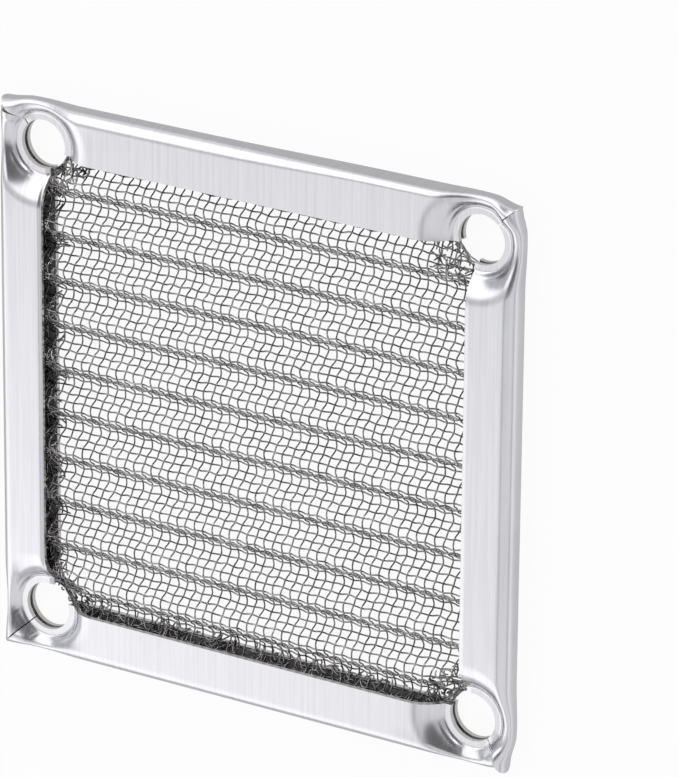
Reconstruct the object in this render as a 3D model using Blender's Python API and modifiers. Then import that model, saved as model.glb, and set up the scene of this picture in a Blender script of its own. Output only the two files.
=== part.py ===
# Fan dust filter: an aluminium frame, folded from one blank, that holds corrugated wire cloth.
# The filter lies on its back face: +Z points out of the front face, X and Y run along
# the sides, and the origin is at the bottom, in the middle of the four screw holes.

import math

import bmesh
import bpy

# Driving dimensions, in metres
side_length = 0.0592
frame_thickness = 0.0032
sheet_thickness = 0.0005
flange_width = 0.0053
edge_radius = 0.0013
hole_inset = 0.0046
hole_diameter = 0.0051
seat_diameter = 0.0064
seat_height = 0.00145
press_radius = 0.0075
corner_bulge = 0.25
seam_width = 0.00025
seam_base_margin = 0.0002
cloth_thickness = 0.0005
cloth_clearance = 0.0003
ridge_pitch = 0.0048
ridge_height = 0.0031
ridge_blend = 0.0030
gap_columns = 12
gap_share = 0.72

# Fineness of the curved surfaces
fold_steps = 3
flange_steps = 6
corner_stations = 14
corner_start = 0.58
hole_segments = 32
flat_angle = math.radians(0.2)
largest_fold_share = 0.48

# Sizes that follow from the driving dimensions
half_side = side_length / 2
half_window = half_side - flange_width
half_spacing = half_side - hole_inset
hole_radius = hole_diameter / 2
seat_radius = seat_diameter / 2


def smooth_step(value):
    value = min(max(value, 0.0), 1.0)
    return value * value * (3.0 - 2.0 * value)


# Height of the front face: full on the flanges, and pressed down to a flat seat round each screw hole
def front_height_at_distance(distance):
    rise = smooth_step((distance - seat_radius) / (press_radius - seat_radius))
    return seat_height + (frame_thickness - seat_height) * rise


def front_height(x, y):
    return front_height_at_distance(math.hypot(abs(x) - half_spacing, abs(y) - half_spacing))


def make_material(name, colour, roughness):
    material = bpy.data.materials.new(name)
    material.use_nodes = True
    shader = material.node_tree.nodes["Principled BSDF"]
    shader.inputs["Base Color"].default_value = (*colour, 1.0)
    shader.inputs["Metallic"].default_value = 1.0
    shader.inputs["Roughness"].default_value = roughness
    return material


def make_object(name, builder, collection, material=None):
    mesh = bpy.data.meshes.new(name)
    builder.to_mesh(mesh)
    builder.free()
    piece = bpy.data.objects.new(name, mesh)
    collection.objects.link(piece)
    if material:
        mesh.materials.append(material)
    return piece


def cut(piece, cutter):
    modifier = piece.modifiers.new(cutter.name, "BOOLEAN")
    modifier.operation = "DIFFERENCE"
    modifier.solver = "EXACT"
    modifier.object = cutter


# One cutter with the same prism at each corner, from the height low to well past the front
# face. The outline is given for the corner where X and Y are positive.
def corner_cutter(name, outline, collection, low=-frame_thickness):
    builder = bmesh.new()
    for corner_x, corner_y in ((1, 1), (-1, 1), (-1, -1), (1, -1)):
        corners = [builder.verts.new((corner_x * x, corner_y * y, low)) for x, y in outline]
        sides = bmesh.ops.extrude_face_region(builder, geom=[builder.faces.new(corners)])
        raised = [item for item in sides["geom"] if isinstance(item, bmesh.types.BMVert)]
        bmesh.ops.translate(builder, vec=(0.0, 0.0, 2 * frame_thickness - low), verts=raised)
    bmesh.ops.recalc_face_normals(builder, faces=builder.faces[:])
    cutter = make_object(name, builder, collection)
    cutter.hide_render = True
    cutter.display_type = "WIRE"
    return cutter


# One cross-section of the channel's outer skin, from the front flange's inner edge round the
# fold, the web and the back fold to the back flange's inner edge. Each point is how far it lies
# inside the outer face and its height. The folds shrink where the frame is pressed thinner.
def channel_section(along):
    edge_height = front_height(along * half_side, half_side)
    fold = min(edge_radius, largest_fold_share * edge_height)
    bulge = corner_bulge * (frame_thickness - edge_height)

    def spot(inset):
        share = min(1.0, (flange_width - inset) / (flange_width - fold))
        level = half_side - inset + share * bulge
        return along * level, level

    points = []
    for step in range(flange_steps):
        x, y = spot(flange_width + (fold - flange_width) * step / flange_steps)
        points.append((x, y, front_height(x, y)))
    for step in range(fold_steps + 1):
        angle = math.pi / 2 * (1 - step / fold_steps)
        x, y = spot(fold * (1 - math.cos(angle)))
        points.append((x, y, front_height(x, y) - fold * (1 - math.sin(angle))))
    for step in range(fold_steps + 1):
        angle = math.pi / 2 * step / fold_steps
        x, y = spot(fold * (1 - math.cos(angle)))
        points.append((x, y, fold * (1 - math.sin(angle))))
    x, y = spot(flange_width)
    points.append((x, y, 0.0))
    return points


# Where the sections stand along a side, as shares of the half side: close together at the corners
def section_stations():
    spacing = (1 - corner_start) / corner_stations
    spread = [corner_start + step * spacing for step in range(corner_stations + 1)]
    return [-share for share in reversed(spread)] + [0.0] + spread


def build_frame(parts, cutters, screw_holes, material):
    builder = bmesh.new()
    for quarter in range(4):
        turn = quarter * math.pi / 2
        rows = []
        for along in section_stations():
            row = []
            for x, y, z in channel_section(along):
                turned_x = x * math.cos(turn) - y * math.sin(turn)
                turned_y = x * math.sin(turn) + y * math.cos(turn)
                row.append(builder.verts.new((turned_x, turned_y, z)))
            rows.append(row)
        for row, following in zip(rows, rows[1:]):
            for index in range(len(row) - 1):
                builder.faces.new((row[index], following[index], following[index + 1], row[index + 1]))
    bmesh.ops.remove_doubles(builder, verts=builder.verts[:], dist=sheet_thickness / 1000)
    frame = make_object("channel_frame", builder, parts, material)
    frame.data.shade_smooth()

    sheet = frame.modifiers.new("sheet", "SOLIDIFY")
    sheet.thickness = sheet_thickness
    sheet.offset = -1.0
    sheet.use_even_offset = True
    cut(frame, screw_holes)
    cut(frame, seam_cutter(cutters))
    flats = frame.modifiers.new("flats", "DECIMATE")
    flats.decimate_type = "DISSOLVE"
    flats.angle_limit = flat_angle
    return frame


# Points on an arc about a screw hole, in the quarter of the plan where X and Y are positive
def arc_points(radius, first_angle, last_angle):
    steps = max(1, math.ceil(hole_segments * (last_angle - first_angle) / (2 * math.pi)))
    points = []
    for step in range(steps + 1):
        angle = first_angle + (last_angle - first_angle) * step / steps
        points.append((half_spacing + radius * math.cos(angle), half_spacing + radius * math.sin(angle)))
    return points


def hole_cutter(cutters):
    return corner_cutter("screw_holes", arc_points(hole_radius, 0.0, 2 * math.pi)[:-1], cutters)


# The mitre seams: the frame is folded from one blank, so its back is a whole ring, and at each
# corner the web and the front flange are parted from the screw hole out to the tip
def seam_cutter(cutters):
    shift = seam_width / 2 / math.sqrt(2)
    outline = []
    for level, side in ((half_spacing, 1), (side_length, 1), (side_length, -1), (half_spacing, -1)):
        outline.append((level + side * shift, level - side * shift))
    return corner_cutter("mitre_seams", outline, cutters, sheet_thickness + seam_base_margin)


# The smallest distance from a screw hole at which the cloth fits between the sheets
def cloth_corner_radius():
    needed = 2 * sheet_thickness + 2 * cloth_clearance + cloth_thickness
    low, high = seat_radius, press_radius
    for _ in range(40):
        middle = (low + high) / 2
        if front_height_at_distance(middle) < needed:
            low = middle
        else:
            high = middle
    return high


# What the cloth's corner loses: the disc where the sheets close on it and all that lies
# outside it, but not the part that shows in the window up to the screw hole
def cloth_corner_cutter(cutters):
    radius = cloth_corner_radius()
    window_corner = half_window - cloth_clearance
    overlap = math.asin(min(1.0, (half_spacing - window_corner) / radius))
    outline = [(window_corner, window_corner)]
    outline += arc_points(radius, -math.pi / 2 - overlap, 0.0)
    outline += [(half_spacing + radius, half_spacing + radius)]
    outline += arc_points(radius, math.pi / 2, math.pi + overlap)
    return corner_cutter("cloth_corners", outline, cutters)


# Height of the cloth's middle surface. It follows the middle of the channel, and its ridges
# are full in the window and flattened where they enter the channel or near a screw hole.
def cloth_height(x, y, wave):
    room = front_height(x, y)
    free = room - 2 * sheet_thickness - 2 * cloth_clearance - cloth_thickness
    caught = max(0.0, free / 2)
    full = (ridge_height - cloth_thickness) / 2
    pressed = (room - seat_height) / (frame_thickness - seat_height)
    depth = half_window - 2 * cloth_clearance - max(abs(x), abs(y))
    opened = smooth_step(depth / ridge_blend) * pressed
    return room / 2 + wave * (caught + (full - caught) * opened)


# The ridges' cross-section is a wave with flat crests and straight slopes, and the origin lies
# in a trough. Each station is a place along Y, the wave's height there from -1 to 1, and whether
# the cloth after it is open. The slopes and troughs are, in one opening from crest to crest.
def ridge_stations(reach):
    wave_corners = ((1 / 12, -1, True), (5 / 12, 1, False), (7 / 12, 1, True), (11 / 12, -1, True))
    count = math.ceil(reach / ridge_pitch) + 1
    inner = []
    for ridge in range(-count, count + 1):
        for share, wave, opened in wave_corners:
            y = (ridge + share) * ridge_pitch
            if abs(y) < reach - cloth_clearance:
                inner.append((y, wave, opened))
    return [(-reach, inner[0][1], False)] + inner + [(reach, inner[-1][1], False)]


def column_stations(reach):
    pitch = 2 * half_window / gap_columns
    opening = gap_share * pitch
    caught = half_window + cloth_clearance
    edges = (reach, (reach + caught) / 2, caught)
    stations = [(-edge, False) for edge in edges]
    for column in range(gap_columns):
        middle = -half_window + (column + 0.5) * pitch
        stations.append((middle - opening / 2, True))
        stations.append((middle + opening / 2, False))
    return stations + [(edge, False) for edge in reversed(edges)]


def build_cloth(parts, cutters, screw_holes, material):
    reach = half_side - edge_radius
    builder = bmesh.new()
    columns = column_stations(reach)
    ridges = ridge_stations(reach)
    rows = []
    for y, wave, _ in ridges:
        rows.append([builder.verts.new((x, y, cloth_height(x, y, wave))) for x, _ in columns])
    for row in range(len(ridges) - 1):
        for column in range(len(columns) - 1):
            middle_x = (columns[column][0] + columns[column + 1][0]) / 2
            middle_y = (ridges[row][0] + ridges[row + 1][0]) / 2
            in_window = max(abs(middle_x), abs(middle_y)) < half_window - ridge_pitch / 4
            crushed = math.hypot(abs(middle_x) - half_spacing, abs(middle_y) - half_spacing) < press_radius
            if ridges[row][2] and columns[column][1] and in_window and not crushed:
                continue
            lower, upper = rows[row], rows[row + 1]
            builder.faces.new((lower[column], lower[column + 1], upper[column + 1], upper[column]))
    cloth = make_object("wire_mesh", builder, parts, material)
    thickness = cloth.modifiers.new("thickness", "SOLIDIFY")
    thickness.thickness = cloth_thickness
    thickness.offset = 0.0
    thickness.use_even_offset = True
    cut(cloth, cloth_corner_cutter(cutters))
    cut(cloth, screw_holes)
    return cloth


def main():
    for item in list(bpy.data.objects):
        bpy.data.objects.remove(item, do_unlink=True)
    parts = bpy.data.collections.new("fan_dust_filter")
    cutters = bpy.data.collections.new("cutters")
    bpy.context.scene.collection.children.link(parts)
    bpy.context.scene.collection.children.link(cutters)
    aluminium = make_material("brushed aluminium", (0.72, 0.72, 0.74), 0.32)
    stainless = make_material("stainless wire", (0.42, 0.41, 0.40), 0.35)
    screw_holes = hole_cutter(cutters)
    build_frame(parts, cutters, screw_holes, aluminium)
    build_cloth(parts, cutters, screw_holes, stainless)


main()
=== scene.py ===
import math

import bmesh
import bpy
import numpy as np
from mathutils import Matrix, Vector


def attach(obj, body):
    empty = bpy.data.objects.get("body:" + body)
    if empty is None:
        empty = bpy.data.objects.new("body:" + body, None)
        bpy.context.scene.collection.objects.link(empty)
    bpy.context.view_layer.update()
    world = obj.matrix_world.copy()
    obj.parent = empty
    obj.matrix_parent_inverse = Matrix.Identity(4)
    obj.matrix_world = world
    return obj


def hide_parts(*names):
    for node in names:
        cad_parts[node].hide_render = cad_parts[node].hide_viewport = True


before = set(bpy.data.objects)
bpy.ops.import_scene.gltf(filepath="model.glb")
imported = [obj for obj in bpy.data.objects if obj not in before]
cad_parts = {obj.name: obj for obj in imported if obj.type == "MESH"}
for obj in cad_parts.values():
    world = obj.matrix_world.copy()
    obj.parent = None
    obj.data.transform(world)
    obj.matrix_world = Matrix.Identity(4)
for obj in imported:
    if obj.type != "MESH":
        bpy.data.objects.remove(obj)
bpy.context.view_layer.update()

millimetre = 0.001


# Camera
# A long lens from the upper right, turned so that the filter's +Y side is up in the picture.
# The three axes are the camera's right, up and back, fitted to the frame's edges and holes.
camera = {
    "place": (0.28811, 0.22539, 0.46550),
    "right": (0.855399, 0.008864, -0.517894),
    "up": (-0.201278, 0.926964, -0.316584),
    "back": (0.477263, 0.375046, 0.794708),
    "lens": 277.96,
    "sensor": 36.0,
    "nearest": 0.01,
    "farthest": 20.0,
}


def makeCamera(values):
    data = bpy.data.cameras.new("camera")
    data.lens = values["lens"]
    data.sensor_width = values["sensor"]
    data.clip_start = values["nearest"]
    data.clip_end = values["farthest"]
    holder = bpy.data.objects.new("camera", data)
    bpy.context.scene.collection.objects.link(holder)
    turn = Matrix((values["right"], values["up"], values["back"])).transposed().to_4x4()
    holder.matrix_world = Matrix.Translation(values["place"]) @ turn
    bpy.context.scene.camera = holder


makeCamera(camera)
print("camera placed")


# Node and mesh helpers. A colour's hex code is turned into linear values by the sRGB curve.
def linearColour(hexCode):
    channels = [int(hexCode[at:at + 2], 16) / 255 for at in (1, 3, 5)]
    return tuple(c / 12.92 if c <= 0.04045 else ((c + 0.055) / 1.055) ** 2.4 for c in channels) + (1.0,)


# Adds one node, sets what is given by name, and links what is given as another node's output
def addNode(material, kind, settings=None, inputs=None):
    tree = material.node_tree
    node = tree.nodes.new(kind)
    for name, value in (settings or {}).items():
        setattr(node, name, value)
    for name, value in (inputs or {}).items():
        if isinstance(value, bpy.types.NodeSocket):
            tree.links.new(value, node.inputs[name])
        else:
            node.inputs[name].default_value = value
    return node


def newMaterial(name):
    material = bpy.data.materials.new(name)
    material.use_nodes = True
    material.node_tree.nodes.clear()
    return material


def makeMesh(name, points, faces, materials):
    mesh = bpy.data.meshes.new(name)
    mesh.from_pydata(points.tolist(), [], faces.tolist())
    mesh.polygons.foreach_set("use_smooth", np.ones(len(faces), bool))
    for material in materials:
        mesh.materials.append(material)
    mesh.update()
    piece = bpy.data.objects.new(name, mesh)
    bpy.context.scene.collection.objects.link(piece)
    return piece


def smoothStep(value):
    value = np.clip(value, 0.0, 1.0)
    return value * value * (3.0 - 2.0 * value)


latticeSide = 256


# A smooth random field: seeded values on a square lattice, eased from one lattice point to the next
def softNoise(x, y, size, seed):
    lattice = np.random.default_rng(seed).uniform(-1.0, 1.0, (latticeSide, latticeSide))
    column = x / size + latticeSide / 2
    row = y / size + latticeSide / 2
    left = np.clip(np.floor(column).astype(int), 0, latticeSide - 2)
    low = np.clip(np.floor(row).astype(int), 0, latticeSide - 2)
    across = smoothStep(column - left)
    along = smoothStep(row - low)
    lower = lattice[low, left] * (1 - across) + lattice[low, left + 1] * across
    upper = lattice[low + 1, left] * (1 - across) + lattice[low + 1, left + 1] * across
    return lower * (1 - along) + upper * along


# Sizes that the frame and the wire cloth share, in millimetres
filterSizes = {
    "halfSide": 29.6,
    "thickness": 3.2,
    "flangeWidth": 5.3,
    "sheet": 0.5,
    "edgeRadius": 1.3,
    "largestFold": 0.48,
    "bulge": 0.30,
    "holeSpacing": 50.0,
    "holeRadius": 2.55,
    "seatHeight": 1.45,
    "seatRadius": 3.2,
    "stepWidth": 0.55,
    "stepRise": 0.5,
    "pressRadius": 6.4,
    "pressPower": 0.5,
    "tipDrop": 0.35,
    "tipStart": 27.0,
    "tipLength": 2.5,
}
half = filterSizes["halfSide"]
halfSpacing = filterSizes["holeSpacing"] / 2
halfWindow = half - filterSizes["flangeWidth"]


def holeDistance(x, y):
    return np.hypot(np.abs(x) - halfSpacing, np.abs(y) - halfSpacing)


# Height of the front face. A flat seat round each screw hole, a short step eased at both ends, then
# a long rise to the full thickness, which is steepest at its foot: an eased step of the share of
# the way to the power pressPower. The corners' tips stay a little lower.
def frontHeight(x, y):
    sizes = filterSizes
    distance = holeDistance(x, y)
    stepEnd = sizes["seatRadius"] + sizes["stepWidth"]
    stepped = sizes["stepRise"] * smoothStep((distance - sizes["seatRadius"]) / sizes["stepWidth"])
    left = sizes["thickness"] - sizes["seatHeight"] - sizes["stepRise"]
    share = np.clip((distance - stepEnd) / (sizes["pressRadius"] - stepEnd), 0.0, 1.0)
    risen = left * smoothStep(share ** sizes["pressPower"])
    inTip = (np.minimum(np.abs(x), np.abs(y)) - sizes["tipStart"]) / sizes["tipLength"]
    tip = sizes["tipDrop"] * smoothStep(inTip)
    return sizes["seatHeight"] + stepped + risen - tip


# A colour that goes from darker to colour over a span of the factor
def addTone(material, factor, span, darker, colour):
    tone = addNode(material, "ShaderNodeValToRGB", inputs={"Fac": factor})
    for element, position, code in zip(tone.color_ramp.elements, span, (darker, colour)):
        element.position = position
        element.color = linearColour(code)
    return tone.outputs["Color"]


# Lengths in metres. The lines are 0.35 mm apart and 14 mm long, as real ones are finer and would
# not show. The cloudy handling marks are about 4 mm across.
aluminiumGrain = {
    "lineSpacing": 0.00035,
    "lineLength": 0.014,
    "lineDetail": 3.0,
    "lineRoughness": 0.6,
    "cloudSize": 0.004,
    "cloudDetail": 4.0,
    "cloudRoughness": 0.55,
    "roughRange": (0.7, 1.3),
    "toneRange": (0.35, 0.6),
    "reliefDepth": 0.00002,
}


# Aluminium sheet, rolled and left bare, then folded. The rolls leave a satin face with faint
# lines along Y on all four sides, because the frame is one blank.
def makeAluminium(name, colour, darker, roughness, spread, streakDepth):
    grain = aluminiumGrain
    material = newMaterial(name)
    place = addNode(material, "ShaderNodeTexCoord").outputs["Object"]
    acrossLines = 1 / grain["lineSpacing"]
    alongLines = 1 / grain["lineLength"]
    stretched = addNode(material, "ShaderNodeMapping", inputs={
        "Vector": place, "Scale": (acrossLines, alongLines, alongLines)})
    lines = addNode(material, "ShaderNodeTexNoise", inputs={
        "Vector": stretched.outputs["Vector"], "Scale": 1.0, "Detail": grain["lineDetail"],
        "Roughness": grain["lineRoughness"]})
    clouds = addNode(material, "ShaderNodeTexNoise", inputs={
        "Vector": place, "Scale": 1 / grain["cloudSize"], "Detail": grain["cloudDetail"],
        "Roughness": grain["cloudRoughness"]})
    mixed = addNode(material, "ShaderNodeMath", {"operation": "ADD"}, {
        0: lines.outputs["Fac"], 1: clouds.outputs["Fac"]})
    least, most = grain["roughRange"]
    rough = addNode(material, "ShaderNodeMapRange", inputs={
        "Value": mixed.outputs["Value"], "From Min": least, "From Max": most,
        "To Min": roughness - spread, "To Max": roughness + spread})
    tone = addTone(material, lines.outputs["Fac"], grain["toneRange"], darker, colour)
    relief = addNode(material, "ShaderNodeBump", inputs={
        "Height": lines.outputs["Fac"], "Strength": streakDepth, "Distance": grain["reliefDepth"]})
    shader = addNode(material, "ShaderNodeBsdfPrincipled", inputs={
        "Base Color": tone, "Metallic": 1.0, "Roughness": rough.outputs["Result"],
        "Normal": relief.outputs["Normal"]})
    addNode(material, "ShaderNodeOutputMaterial", inputs={"Surface": shader.outputs["BSDF"]})
    return material


# The drawing die leaves patches about 1.5 mm long, given in metres
steelGrain = {
    "patchSize": 0.0015,
    "patchDetail": 3.0,
    "patchRoughness": 0.6,
    "roughRange": (0.3, 0.7),
    "roughSpread": 0.06,
    "toneRange": (0.35, 0.65),
}


# Drawn stainless wire: grey, with a narrow highlight along each wire and a tone that varies
# from wire to wire
def makeSteel(name, colour, darker, roughness):
    grain = steelGrain
    material = newMaterial(name)
    place = addNode(material, "ShaderNodeTexCoord").outputs["Object"]
    patches = addNode(material, "ShaderNodeTexNoise", inputs={
        "Vector": place, "Scale": 1 / grain["patchSize"], "Detail": grain["patchDetail"],
        "Roughness": grain["patchRoughness"]})
    tone = addTone(material, patches.outputs["Fac"], grain["toneRange"], darker, colour)
    least, most = grain["roughRange"]
    rough = addNode(material, "ShaderNodeMapRange", inputs={
        "Value": patches.outputs["Fac"], "From Min": least, "From Max": most,
        "To Min": roughness - grain["roughSpread"], "To Max": roughness + grain["roughSpread"]})
    shader = addNode(material, "ShaderNodeBsdfPrincipled", inputs={
        "Base Color": tone, "Metallic": 1.0, "Roughness": rough.outputs["Result"]})
    addNode(material, "ShaderNodeOutputMaterial", inputs={"Surface": shader.outputs["BSDF"]})
    return material


finishes = {
    "sheetFace": makeAluminium("rolledAluminium", "#E2E2E6", "#DADADF", 0.25, 0.025, 0.08),
    # The inner face is the same aluminium as the outer face. Its colours are a little darker than the
    # face's, which is painted shade inside the channel, and its roughness is higher.
    "sheetInsideShaded": makeAluminium("aluminiumInsideShaded", "#DAD8D8", "#C6C4C5", 0.60, 0.05, 0.10),
    "sheetEdge": makeAluminium("shearedAluminiumEdge", "#EDEBE8", "#E3E1DE", 0.28, 0.03, 0.05),
    "wire": makeSteel("drawnStainlessWire", "#BAB8B8", "#706E6F", 0.22),
}
# The order of the finishes on the sheet, and the slots of its inner face and its sheared edges
sheetFinishes = ("sheetFace", "sheetInsideShaded", "sheetEdge")
insideSlot = 1
edgeSlot = 2
print("materials made")


# Frame
# At each corner, for the side that ends there at its positive end ("first") and for its
# neighbour: how far the side's end draws back along the side, at the screw hole and at the tip,
# and how much its edge stands up. Then how far the seam wanders to and fro, which share of it
# stays narrow, and how far the tip is knocked along X and Y.
frameShape = {
    "flangeRows": 36,
    "foldRows": 11,
    "backRows": 12,
    "cornerStart": 0.70,
    "cornerStations": 70,
    "middleStations": 10,
    "seamBase": 0.7,
    "seamFade": 0.25,
    "seamStart": 26.8,
    "seamShare": 0.07,
    "wanderTurns": 1.3,
    "liftTurns": 0.75,
    "edgeTurn": (0.0, 0.14, 0.0, 0.05),
    "edgeTurnWidth": 0.45,
    "tightened": (0.40, 0.0, 0.0, 0.0),
    "tightFrom": (-0.15, 0.50),
    "tightTo": (0.70, 0.92),
    "knockStart": 26.2,
    "holeSegments": 72,
    "sharpAngle": 40.0,
    "belowFront": 0.002,
    "joinDistance": 0.004,
    "cutterDepths": 4,
    "corners": {
        "topLeft": {"first": {"hole": 0.09, "tip": 1.10, "lift": 0.0},
                    "second": {"hole": 0.09, "tip": 0.06, "lift": 0.12},
                    "wander": 0.15, "narrow": 0.45, "knocked": (0.0, -0.35)},
        "bottomLeft": {"first": {"hole": 0.08, "tip": 0.10, "lift": 0.0},
                       "second": {"hole": 0.08, "tip": 0.10, "lift": 0.0},
                       "wander": 0.0, "narrow": 0.0, "knocked": (-0.22, -0.22)},
        "bottomRight": {"first": {"hole": 0.05, "tip": -0.20, "lift": 0.30},
                        "second": {"hole": 0.10, "tip": 0.60, "lift": -0.05},
                        "wander": 0.20, "narrow": 0.2, "knocked": (-0.62, 0.16)},
        "topRight": {"first": {"hole": 0.10, "tip": 0.05, "lift": 0.0},
                     "second": {"hole": 0.10, "tip": 0.08, "lift": 0.10},
                     "wander": 0.05, "narrow": 0.3, "knocked": (-0.55, -0.60)},
    },
}
# The side of each quarter turn, with the corners at its positive and negative ends
sideCorners = (("topRight", "topLeft"), ("topLeft", "bottomLeft"),
               ("bottomLeft", "bottomRight"), ("bottomRight", "topRight"))


# The stations along a side, as shares of its half length: evenly close at both corners, and
# few in the straight middle
def sideStations(shape):
    corner = np.linspace(shape["cornerStart"], 1.0, shape["cornerStations"])
    middle = np.linspace(-shape["cornerStart"], shape["cornerStart"], shape["middleStations"] + 2)[1:-1]
    return np.concatenate((-corner[::-1], middle, corner))


# One side of the channel's outer skin as a grid. Across: the front flange from its inner edge,
# a quarter circle down, the web, a quarter circle in, the back flange to its inner edge. A row is
# an inset from the outer face, part fixed and part a share of the fold's radius, and a height
# below the front face or above the back face as a share of the same radius. Along: every row is
# carried along the side and its ends fan out to the mitre, so a point's place along the side is
# the station's share of its own distance from the middle.
def frameSide(shape, sizes, side):
    flange = np.linspace(0.0, 1.0, shape["flangeRows"])
    bend = np.linspace(math.pi / 2, 0.0, shape["foldRows"])[1:]
    back = np.linspace(0.0, 1.0, shape["backRows"])[1:]
    width = sizes["flangeWidth"]
    fixed = np.concatenate((width * (1 - flange), 0 * bend, 0 * bend, width * back))
    folded = np.concatenate((flange, 1 - np.cos(bend), 1 - np.cos(bend[::-1]), 1 - back))
    drop = np.concatenate((0 * flange, 1 - np.sin(bend), 1 - np.sin(bend[::-1]), 0 * back))
    isFront = np.arange(len(fixed)) < len(flange) + len(bend)
    station = sideStations(shape)[:, None]
    edgeHeight = frontHeight(station * half, half)
    # some sides are folded tighter over part of their length, eased in and out
    fromStart, fromEnd = shape["tightFrom"]
    toStart, toEnd = shape["tightTo"]
    risen = smoothStep((station - fromStart) / (fromEnd - fromStart))
    fallen = smoothStep((station - toStart) / (toEnd - toStart))
    radius = sizes["edgeRadius"] * (1 - shape["tightened"][side] * risen * (1 - fallen))
    fold = np.minimum(radius, sizes["largestFold"] * edgeHeight)
    bulge = sizes["bulge"] * (sizes["thickness"] - edgeHeight)
    inset = fixed + folded * fold
    share = np.minimum(1.0, (width - inset) / (width - fold))
    level = half - inset + share * bulge
    across = station * level
    # the shears turned some sides' inner edges down a little
    toEdge = (inset - width + shape["edgeTurnWidth"]) / shape["edgeTurnWidth"]
    turned = shape["edgeTurn"][side] * smoothStep(toEdge)
    height = np.where(isFront, frontHeight(across, level) - drop * fold - turned, drop * fold)
    return across, level, height, np.broadcast_to(station, level.shape)


# Parts a side from its neighbours at the mitre seams. Each end draws back along the side, by an
# amount that changes from the screw hole to the tip, and wanders to and fro with a sine along the
# seam, which halves toward the tip. The gap fades out below seamBase, where the back ring is whole.
def partSeams(across, level, height, station, side):
    shape = frameShape
    alongSeam = np.clip((level - shape["seamStart"]) / (half - shape["seamStart"]), 0.0, 1.0)
    parted = smoothStep((height - shape["seamBase"]) / shape["seamFade"])
    for end, name in zip((1, -1), sideCorners[side]):
        corner = shape["corners"][name]
        values = corner["first" if end > 0 else "second"]
        near = parted * smoothStep((end * station - 1 + shape["seamShare"]) / shape["seamShare"])
        opened = smoothStep((alongSeam - corner["narrow"]) / (1 - corner["narrow"]))
        gap = values["hole"] + (values["tip"] - values["hole"]) * opened
        swing = np.sin(2 * math.pi * shape["wanderTurns"] * alongSeam)
        wander = corner["wander"] * swing * (1 - alongSeam / 2)
        across = across + near * (wander - end * gap)
        height = height + near * values["lift"] * np.sin(math.pi * shape["liftTurns"] * alongSeam)
    return across, np.minimum(height, filterSizes["thickness"] - shape["belowFront"])


# Moves the tips of the corners, which have been knocked. The move grows from nothing at
# knockStart along the corner's diagonal to its full length at the tip.
def knockTips(x, y, shape):
    signs = {"topLeft": (-1, 1), "bottomLeft": (-1, -1), "bottomRight": (1, -1), "topRight": (1, 1)}
    movedX, movedY = x, y
    for name, (signX, signY) in signs.items():
        inCorner = np.minimum(signX * x, signY * y) - shape["knockStart"]
        share = smoothStep(inCorner / (half - shape["knockStart"]))
        movedX = movedX + share * shape["corners"][name]["knocked"][0]
        movedY = movedY + share * shape["corners"][name]["knocked"][1]
    return movedX, movedY


# The four-sided faces between rows and columns of points
def gridFaces(rows, columns):
    index = np.arange(rows * columns).reshape(rows, columns)
    return np.stack((index[:-1, :-1], index[1:, :-1], index[1:, 1:], index[:-1, 1:]), -1).reshape(-1, 4)


# One cylinder at each corner, to cut the screw holes with
def makeHoleCutter(shape, sizes):
    builder = bmesh.new()
    radius = sizes["holeRadius"] * millimetre
    depth = shape["cutterDepths"] * sizes["thickness"] * millimetre
    for x, y in ((1, 1), (-1, 1), (-1, -1), (1, -1)):
        place = Matrix.Translation(Vector((x * halfSpacing, y * halfSpacing, 0.0)) * millimetre)
        bmesh.ops.create_cone(
            builder, cap_ends=True, segments=shape["holeSegments"], radius1=radius, radius2=radius,
            depth=depth, matrix=place)
    for face in builder.faces:
        face.material_index = edgeSlot
        face.smooth = True
    mesh = bpy.data.meshes.new("screwHoles")
    builder.to_mesh(mesh)
    builder.free()
    for finish in sheetFinishes:
        mesh.materials.append(finishes[finish])
    cutter = bpy.data.objects.new("screwHoles", mesh)
    bpy.context.scene.collection.objects.link(cutter)
    return cutter


def joinDoubles(piece, distance):
    builder = bmesh.new()
    builder.from_mesh(piece.data)
    bmesh.ops.remove_doubles(builder, verts=builder.verts[:], dist=distance)
    builder.to_mesh(piece.data)
    builder.free()


# Keeps the shape that the modifiers give, as the piece's own mesh
def keepEvaluated(piece):
    graph = bpy.context.evaluated_depsgraph_get()
    finished = bpy.data.meshes.new_from_object(piece.evaluated_get(graph))
    piece.modifiers.clear()
    piece.data = finished


# The four sides are turned into place and joined. The sheet then gets its thickness inward, and
# the screw holes are cut.
def makeFrame(shape, sizes):
    allPoints, allFaces = [], []
    for side in range(4):
        across, level, height, station = frameSide(shape, sizes, side)
        across, height = partSeams(across, level, height, station, side)
        turn = side * math.pi / 2
        x = across * math.cos(turn) - level * math.sin(turn)
        y = across * math.sin(turn) + level * math.cos(turn)
        x, y = knockTips(x, y, shape)
        start = sum(len(points) for points in allPoints)
        allPoints.append(np.stack((x, y, height), -1).reshape(-1, 3))
        allFaces.append(gridFaces(*level.shape) + start)
    piece = makeMesh("frame_sheet", np.concatenate(allPoints) * millimetre, np.concatenate(allFaces),
                     [finishes[finish] for finish in sheetFinishes])
    joinDoubles(piece, shape["joinDistance"] * millimetre)
    sheet = piece.modifiers.new("sheet", "SOLIDIFY")
    sheet.thickness = sizes["sheet"] * millimetre
    sheet.offset = -1.0
    sheet.use_even_offset = False
    sheet.material_offset = insideSlot
    sheet.material_offset_rim = edgeSlot
    cutter = makeHoleCutter(shape, sizes)
    holes = piece.modifiers.new("holes", "BOOLEAN")
    holes.operation = "DIFFERENCE"
    holes.solver = "EXACT"
    holes.object = cutter
    keepEvaluated(piece)
    bpy.data.objects.remove(cutter, do_unlink=True)
    piece.data.set_sharp_from_angle(angle=math.radians(shape["sharpAngle"]))
    return piece


framePiece = makeFrame(frameShape, filterSizes)
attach(framePiece, "root")
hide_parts("channel_frame")
print("frame made:", len(framePiece.data.polygons), "faces")


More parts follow.
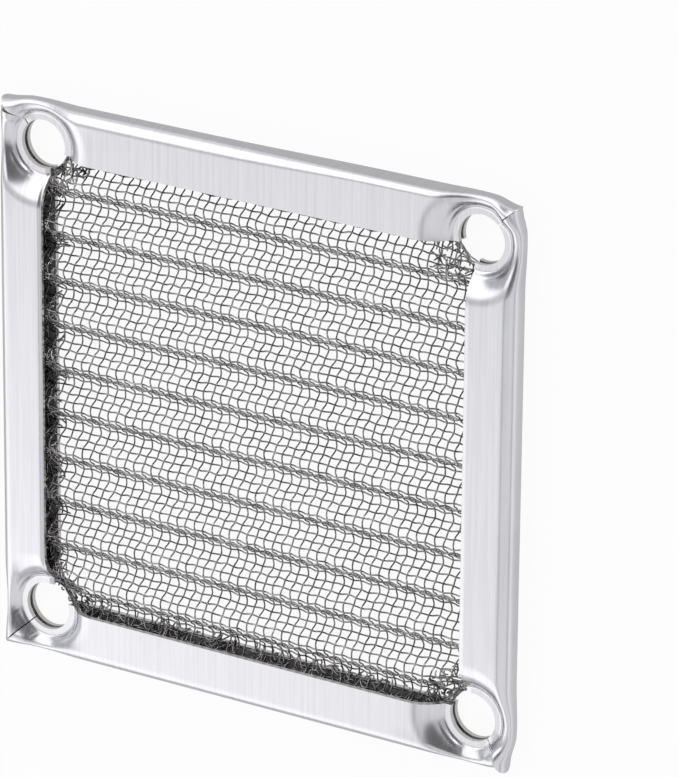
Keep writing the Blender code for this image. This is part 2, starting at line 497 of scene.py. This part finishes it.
# Wire cloth
clothShape = {
    "pitch": 1.02,
    "rowsPerRidge": 7,
    "wireRadius": 0.084,
    "crimp": 0.10,
    "ridgePitch": 4.78,
    "ridgeCrest": 2.6,
    "ridgeHeight": 1.92,
    "ridgeFlatness": 0.4,
    "ridgeBlend": 2.6,
    "caughtHeight": 1.6,
    "caughtMargin": 0.4,
    "reach": 28.2,
    "looseness": 0.06,
    "edgeLooseness": 0.16,
    "edgeBand": 2.0,
    "holeBand": 7.0,
    "holeBandWidth": 4.0,
    "wrapRadius": 2.66,
    "wrapPower": 2.5,
    "brokenRadius": 0.75,
    "wireSides": 5,
    "stepsPerCrossing": 4,
    "wanderSizes": (1.6, 0.7),
    "smallWander": 0.6,
    "wanderSeeds": (11, 12, 13, 14),
    "pastReach": 0.5,
    "leastDistance": 1e-6,
    "lengthSamples": 6001,
    "slopeStep": 0.02,
}


# The ridges' cross-section along Y: a cosine with its crests and troughs flattened
def ridgeWave(y, shape):
    flat = shape["ridgeFlatness"]
    turn = 2 * math.pi * (y - shape["ridgeCrest"]) / shape["ridgePitch"]
    return np.tanh(flat * np.cos(turn)) / math.tanh(flat)


# Height of the cloth's middle: halfway up the channel, plus the ridges. They are full in the
# window, lower where the channel catches them, and pressed flat round the screw holes.
def clothHeight(x, y, shape):
    sizes = filterSizes
    room = frontHeight(x, y)
    pressed = np.clip((room - sizes["seatHeight"]) / (sizes["thickness"] - sizes["seatHeight"]), 0, 1)
    depth = halfWindow + shape["caughtMargin"] - np.maximum(np.abs(x), np.abs(y))
    opened = smoothStep(depth / shape["ridgeBlend"])
    size = shape["caughtHeight"] + (shape["ridgeHeight"] - shape["caughtHeight"]) * opened
    return room / 2 + ridgeWave(y, shape) * size / 2 * pressed


# Where a wire lies: the cloth's own small wanderings, larger near the channel and the holes
def loosen(x, y, shape):
    outside = np.maximum(np.abs(x), np.abs(y)) - halfWindow + shape["edgeBand"]
    nearEdge = smoothStep(outside / shape["edgeBand"])
    nearHole = smoothStep((shape["holeBand"] - holeDistance(x, y)) / shape["holeBandWidth"])
    added = shape["edgeLooseness"] - shape["looseness"]
    amount = shape["looseness"] + added * np.maximum(nearEdge, nearHole)
    large, small = shape["wanderSizes"]
    seeds = shape["wanderSeeds"]
    dx = softNoise(x, y, large, seeds[0]) + shape["smallWander"] * softNoise(x, y, small, seeds[1])
    dy = softNoise(x, y, large, seeds[2]) + shape["smallWander"] * softNoise(x, y, small, seeds[3])
    return amount * dx, amount * dy


# The punch for each screw hole pushes the wires aside, so that they crowd round the hole's rim.
# A point at distance r from the hole's centre moves out to (r^k + R^k)^(1/k), where R is the
# rim's radius. Wires that ran close to the centre are broken there.
def wrapRound(x, y, shape):
    offsetX = np.abs(x) - halfSpacing
    offsetY = np.abs(y) - halfSpacing
    distance = np.maximum(np.hypot(offsetX, offsetY), shape["leastDistance"])
    power = shape["wrapPower"]
    moved = (distance ** power + shape["wrapRadius"] ** power) ** (1 / power)
    limit = shape["reach"] + shape["pastReach"]
    newX = np.minimum(halfSpacing + offsetX * moved / distance, limit)
    newY = np.minimum(halfSpacing + offsetY * moved / distance, limit)
    return np.sign(x) * newX, np.sign(y) * newY, distance > shape["brokenRadius"]


# The places along Y at equal steps of the corrugated cloth's own length, which is the sum of
# the slopes' lengths. A ridge takes a whole number of crossing wires.
def developedPlaces(shape, perCrossing):
    y = np.linspace(-shape["reach"], shape["reach"], shape["lengthSamples"])
    z = ridgeWave(y, shape) * shape["ridgeHeight"] / 2
    length = np.concatenate(([0.0], np.cumsum(np.hypot(np.diff(y), np.diff(z)))))
    ridges = 2 * shape["reach"] / shape["ridgePitch"]
    crossings = int(round(ridges * shape["rowsPerRidge"]))
    wanted = np.linspace(0.0, length[-1], crossings * perCrossing + 1)
    return np.interp(wanted, length, y), crossings


# Sweeps a ring of points along each of many wires. A ring stands square to the wire: its side
# axis is the wire's direction crossed with the reference axis, its other axis is square to both.
def wireTubes(name, paths, radii, reference, sides, keep):
    tangent = np.gradient(paths, axis=1)
    tangent /= np.linalg.norm(tangent, axis=-1, keepdims=True)
    sideways = np.cross(tangent, np.cross(reference, tangent))
    sideways /= np.linalg.norm(sideways, axis=-1, keepdims=True)
    upward = np.cross(tangent, sideways)
    angle = np.arange(sides) * 2 * math.pi / sides
    ring = sideways[:, :, None] * np.cos(angle)[:, None] + upward[:, :, None] * np.sin(angle)[:, None]
    points = paths[:, :, None] + ring * radii[:, :, None, None]
    wires, steps = paths.shape[:2]
    index = np.arange(wires * steps * sides).reshape(wires, steps, sides)
    following = np.roll(index, -1, axis=2)
    faces = np.stack((index[:, :-1], following[:, :-1], following[:, 1:], index[:, 1:]), -1)
    faces = faces[keep].reshape(-1, 4)
    used, faces = np.unique(faces, return_inverse=True)
    return makeMesh(name, points.reshape(-1, 3)[used] * millimetre, faces.reshape(-1, 4), [finishes["wire"]])


# The direction square to the cloth, from the slopes of its height
def surfaceNormal(x, y, shape):
    step = shape["slopeStep"]
    slopeX = (clothHeight(x + step, y, shape) - clothHeight(x - step, y, shape)) / (2 * step)
    slopeY = (clothHeight(x, y + step, shape) - clothHeight(x, y - step, shape)) / (2 * step)
    normal = np.stack((-slopeX, -slopeY, np.ones_like(x)), -1)
    return normal / np.linalg.norm(normal, axis=-1, keepdims=True)


# Wires end in a point at a cut, so that every tube is closed: the radius is nothing where a
# stretch next to it is left out
def cutRadii(present, radius):
    stretch = present[:, :-1] & present[:, 1:]
    before = np.concatenate((np.zeros_like(stretch[:, :1]), stretch), axis=1)
    after = np.concatenate((stretch, np.zeros_like(stretch[:, :1])), axis=1)
    return np.where(before & after, radius, 0.0), stretch


# Plain weave: each wire goes over one crossing wire and under the next, as a cosine along it,
# and its neighbour does the opposite
def makeWires(shape, sizes):
    steps = shape["stepsPerCrossing"]
    placesY, crossingsY = developedPlaces(shape, steps)
    crossingsX = int(round(2 * shape["reach"] / shape["pitch"]))
    placesX = np.linspace(-shape["reach"], shape["reach"], crossingsX * steps + 1)
    wireX = placesX[::steps]
    wireY = placesY[::steps]
    pieces = []
    for name, across in (("cloth_warp", True), ("cloth_weft", False)):
        if across:
            x, y = np.meshgrid(wireX, placesY, indexing="ij")
            number = np.arange(len(wireX))[:, None]
            phase = np.arange(len(placesY))[None, :] / steps
            sign = 1.0
            reference = (1.0, 0.0, 0.0)
        else:
            y, x = np.meshgrid(wireY, placesX, indexing="ij")
            number = np.arange(len(wireY))[:, None]
            phase = np.arange(len(placesX))[None, :] / steps
            sign = -1.0
            reference = (0.0, 1.0, 0.0)
        dx, dy = loosen(x, y, shape)
        x, y, whole = wrapRound(x + dx, y + dy, shape)
        z = clothHeight(x, y, shape)
        over = sign * shape["crimp"] * np.cos(math.pi * (phase + number))
        paths = np.stack((x, y, z), -1) + over[..., None] * surfaceNormal(x, y, shape)
        outside = holeDistance(paths[..., 0], paths[..., 1]) > sizes["holeRadius"]
        radii, stretch = cutRadii(whole & outside, shape["wireRadius"])
        pieces.append(wireTubes(name, paths, radii, np.array(reference), shape["wireSides"], stretch))
    return pieces


# The cloth's cut edges, crushed into the channel and round the screw holes, are short lengths of
# wire that turn and rise by chance. They lie in a band along each side, which starts at its own
# distance on the top, the left, the bottom and the right, and in part of a ring round each hole,
# ringTurns being the ring's range in quarter turns from the X axis.
clothEnds = {
    "seed": 21,
    "alongSides": 330,
    "roundHoles": 110,
    "bandStart": (24.3, 23.2, 23.6, 24.3),
    "bandWidth": 2.5,
    "ring": (2.75, 5.4),
    "ringTurns": (-0.25, 1.25),
    "length": (0.7, 2.0),
    "turn": 2.4,
    "spread": 0.38,
    "rise": 0.35,
    "steps": 9,
    "clearHole": 2.70,
    "sheetGap": 0.30,
    "underSheet": 23.9,
    "lowest": 0.15,
    "highest": 2.90,
}


# Where each short length has its middle
def endPlaces(values, chance):
    along = chance.uniform(-halfWindow, halfWindow, (4, values["alongSides"]))
    bandStart = np.array(values["bandStart"])[:, None]
    outward = bandStart + values["bandWidth"] * chance.uniform(0.0, 1.0, along.shape)
    turn = np.arange(4)[:, None] * math.pi / 2
    sideX = along * np.cos(turn) - outward * np.sin(turn)
    sideY = along * np.sin(turn) + outward * np.cos(turn)
    radius = chance.uniform(*values["ring"], (4, values["roundHoles"]))
    angle = chance.uniform(*values["ringTurns"], radius.shape) * math.pi / 2
    signX = np.array((1, -1, -1, 1))[:, None]
    signY = np.array((1, 1, -1, -1))[:, None]
    ringX = signX * (halfSpacing - radius * np.cos(angle))
    ringY = signY * (halfSpacing - radius * np.sin(angle))
    return np.concatenate((sideX.ravel(), ringX.ravel())), np.concatenate((sideY.ravel(), ringY.ravel()))


# Each short length is an arc of its own length, heading and turn. It stays clear of the screw
# holes, and between the two faces of the channel where the front flange covers it.
def makeEnds(values, shape, sizes):
    chance = np.random.default_rng(values["seed"])
    middleX, middleY = endPlaces(values, chance)
    count = len(middleX)
    length = chance.uniform(*values["length"], (count, 1))
    heading = chance.uniform(0.0, 2 * math.pi, (count, 1))
    turn = chance.uniform(-values["turn"], values["turn"], (count, 1))
    share = np.linspace(-0.5, 0.5, values["steps"])[None, :]
    direction = heading + turn * share
    step = length / (values["steps"] - 1)
    x = np.cumsum(np.cos(direction) * step, axis=1)
    y = np.cumsum(np.sin(direction) * step, axis=1)
    x = x - x.mean(axis=1, keepdims=True) + middleX[:, None]
    y = y - y.mean(axis=1, keepdims=True) + middleY[:, None]
    push = np.maximum(1.0, values["clearHole"] / holeDistance(x, y))
    x = np.sign(x) * (halfSpacing + (np.abs(x) - halfSpacing) * push)
    y = np.sign(y) * (halfSpacing + (np.abs(y) - halfSpacing) * push)
    lift = values["spread"] * chance.uniform(-1.0, 1.0, (count, 1))
    arch = values["rise"] * chance.uniform(-1.0, 1.0, (count, 1)) * np.cos(math.pi * share)
    z = clothHeight(x, y, shape) + lift + arch
    under = np.maximum(np.abs(x), np.abs(y)) > values["underSheet"]
    margin = sizes["sheet"] + values["sheetGap"]
    low = np.where(under, margin, values["lowest"])
    high = np.where(under, np.maximum(frontHeight(x, y) - margin, margin), values["highest"])
    paths = np.stack((x, y, np.clip(z, low, high)), -1)
    radii = np.full(x.shape, shape["wireRadius"])
    radii[:, 0] = 0.0
    radii[:, -1] = 0.0
    keep = np.ones((count, values["steps"] - 1), bool)
    return wireTubes("cloth_ends", paths, radii, np.array((0.0, 0.0, 1.0)), shape["wireSides"], keep)


for piece in makeWires(clothShape, filterSizes) + [makeEnds(clothEnds, clothShape, filterSizes)]:
    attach(piece, "root")
    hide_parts("wire_mesh")
    print(piece.name, "made:", len(piece.data.polygons), "faces")


# Floor
# Matt white paper. The camera and the metal see it as nearly plain, and what is left of its own
# shading carries the shadow. It is white to the camera. In the metal it is mirroredShade to the
# left of brightX and below brightY, and mirroredWhite past either one. Each of the two is given in
# metres as the start and the end of the change.
floorLook = {
    "size": 3.0,
    "colour": "#FFFFFF",
    "plainShare": 0.93,
    "mirroredShade": 0.56,
    "mirroredWhite": 0.98,
    "brightX": (0.028, 0.036),
    "brightY": (0.034, 0.040),
    "below": 0.00002,
}


def makeFloor(look):
    reach = look["size"] / 2
    corners = np.array(((-1, -1), (1, -1), (1, 1), (-1, 1))) * reach
    points = np.column_stack((corners, np.full(4, -look["below"])))
    material = newMaterial("whitePaper")
    path = addNode(material, "ShaderNodeLightPath")
    direct = addNode(material, "ShaderNodeMath", {"operation": "MAXIMUM"}, {
        0: path.outputs["Is Camera Ray"], 1: path.outputs["Is Transmission Ray"]})
    seen = addNode(material, "ShaderNodeMath", {"operation": "MAXIMUM"}, {
        0: direct.outputs["Value"], 1: path.outputs["Is Glossy Ray"]})
    share = addNode(material, "ShaderNodeMath", {"operation": "MULTIPLY"}, {
        0: seen.outputs["Value"], 1: look["plainShare"]})
    place = addNode(material, "ShaderNodeTexCoord").outputs["Object"]
    split = addNode(material, "ShaderNodeSeparateXYZ", inputs={"Vector": place})
    ramps = []
    for axis in ("X", "Y"):
        span = look["bright" + axis]
        ramps.append(addNode(material, "ShaderNodeMapRange", inputs={
            "Value": split.outputs[axis], "From Min": span[0], "From Max": span[1],
            "To Min": look["mirroredShade"], "To Max": look["mirroredWhite"]}))
    mirrored = addNode(material, "ShaderNodeMath", {"operation": "MAXIMUM"}, {
        0: ramps[0].outputs["Result"], 1: ramps[1].outputs["Result"]})
    white = addNode(material, "ShaderNodeMapRange", inputs={
        "Value": path.outputs["Is Glossy Ray"], "To Min": 1.0, "To Max": mirrored.outputs["Value"]})
    paper = addNode(material, "ShaderNodeBsdfDiffuse", inputs={"Color": linearColour(look["colour"])})
    plain = addNode(material, "ShaderNodeEmission", inputs={
        "Color": linearColour(look["colour"]), "Strength": white.outputs["Result"]})
    mixed = addNode(material, "ShaderNodeMixShader", inputs={
        0: share.outputs["Value"], 1: paper.outputs["BSDF"], 2: plain.outputs["Emission"]})
    addNode(material, "ShaderNodeOutputMaterial", inputs={"Surface": mixed.outputs["Shader"]})
    floor = makeMesh("floor", points, np.array(((0, 1, 2, 3),)), [material])


makeFloor(floorLook)


# Lights
# Flat cards that glow, over the filter like the roof of a light tent. Each is given by its span
# along X, its path of (y, z) points, and its brightness, where 1 is white. The flanges mirror
# flangeCard, which brightens by gain toward its far corner: gainX and gainY are the places where
# that begins and ends. gapCard is a dimmer strip overhead, which the start of the top fold mirrors,
# foldCard gives the top fold and the slopes their highlight, and shadeCard is the dark place beside
# it, which slopes that face up and right mirror. lowCard shines from the camera's side into the
# channel at the bottom and on the left.
cards = {
    "flangeCard": {"x": (-3.00, -0.13), "path": ((-3.00, 0.60), (-0.12, 0.60)), "brightness": 0.96,
                   "gain": 0.42, "gainX": (-0.32, -0.38), "gainY": (-0.26, -0.36)},
    "rightCard": {"x": (0.00, 2.50), "path": ((-3.00, 0.60), (-0.12, 0.60)), "brightness": 0.86},
    "gapCard": {"x": (-1.20, -0.10), "path": ((-0.11, 0.60), (0.07, 0.60)), "brightness": 0.60},
    "foldCard": {"x": (-0.85, -0.11), "path": ((0.09, 0.60), (0.55, 0.60), (0.90, 0.36), (1.05, 0.12)),
                 "brightness": 1.50},
    "shadeCard": {"x": (-0.09, 0.70), "path": ((-0.10, 0.60), (0.55, 0.60), (0.85, 0.40)),
                  "brightness": 0.14},
    "lowCard": {"x": (0.25, 1.30), "path": ((0.90, 0.08), (0.90, 0.40)), "brightness": 5.00},
}
worldColour = "#C0C0C4"


def makeCard(name, values):
    left, right = values["x"]
    points = np.array([(x, y, z) for y, z in values["path"] for x in (left, right)])
    faces = gridFaces(len(values["path"]), 2)
    material = newMaterial(name)
    place = addNode(material, "ShaderNodeTexCoord").outputs["Object"]
    split = addNode(material, "ShaderNodeSeparateXYZ", inputs={"Vector": place})
    ramps = []
    for axis, span in (("X", values.get("gainX", (0.0, 1.0))), ("Y", values.get("gainY", (0.0, 1.0)))):
        ramps.append(addNode(material, "ShaderNodeMapRange", inputs={
            "Value": split.outputs[axis], "From Min": span[0], "From Max": span[1]}))
    product = addNode(material, "ShaderNodeMath", {"operation": "MULTIPLY"}, {
        0: ramps[0].outputs["Result"], 1: ramps[1].outputs["Result"]})
    strength = addNode(material, "ShaderNodeMath", {"operation": "MULTIPLY_ADD"}, {
        0: product.outputs["Value"], 1: values.get("gain", 0.0), 2: values["brightness"]})
    glow = addNode(material, "ShaderNodeEmission", inputs={"Strength": strength.outputs["Value"]})
    addNode(material, "ShaderNodeOutputMaterial", inputs={"Surface": glow.outputs["Emission"]})
    card = makeMesh(name, points, faces, [material])
    card.visible_camera = False


for cardName, cardValues in cards.items():
    makeCard(cardName, cardValues)

world = bpy.data.worlds.new("studio")
world.use_nodes = True
world.node_tree.nodes["Background"].inputs["Color"].default_value = linearColour(worldColour)
bpy.context.scene.world = world
bpy.context.scene.view_settings.view_transform = "Standard"
print("floor and lights placed")
